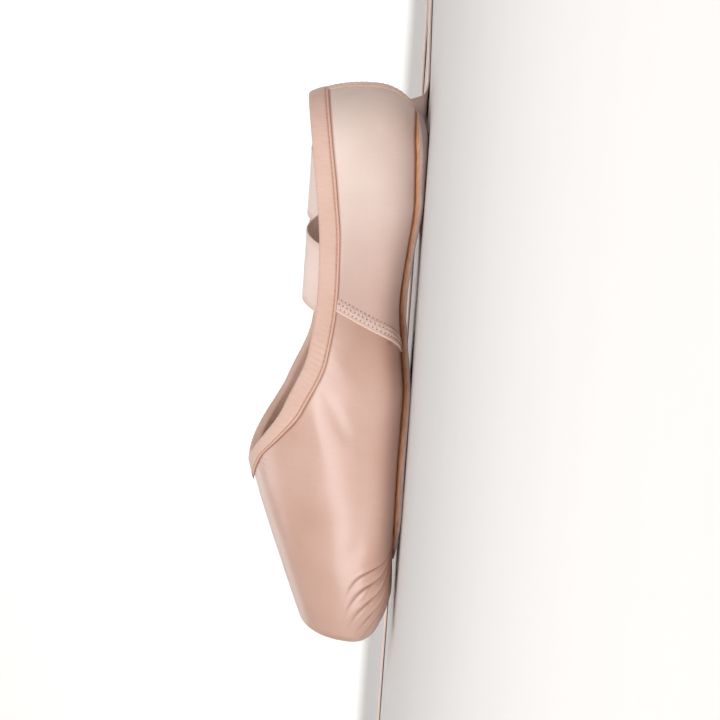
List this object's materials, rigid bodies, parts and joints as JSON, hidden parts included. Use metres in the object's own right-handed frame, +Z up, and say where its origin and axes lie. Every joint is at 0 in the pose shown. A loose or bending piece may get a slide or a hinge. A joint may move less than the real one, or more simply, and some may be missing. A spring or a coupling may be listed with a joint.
{
  "type": "pointe shoe",
  "caption": "Satin ballet pointe shoe with a stiff toe box, pleated underside, narrow leather outsole, bound V throat, seamed heel quarters and loose ribbons, standing empty on its sole.",
  "frame": {"origin": "on the floor under the middle of the shoe's length and width, ribbons not counted", "axes": "+X from the toe platform to the heel, -Y the side that faces the viewer, +Z up off the sole"},
  "size_m": [0.4183, 0.2154, 0.0663],
  "materials": {
    "satin": "peach satin with a soft sheen",
    "binding": "matte woven casing",
    "sole_leather": "napped sole leather",
    "lining": "plain cotton",
    "ribbon": "matte woven ribbon"
  },
  "bodies": {
    "root": {"upper": "satin", "outsole": "sole_leather", "insole": "lining", "binding": "binding", "back_tape": "satin", "side_seam_near": "satin", "side_seam_far": "satin", "ribbon_near": "ribbon", "ribbon_far": "ribbon"}
  },
  "joints": []
}
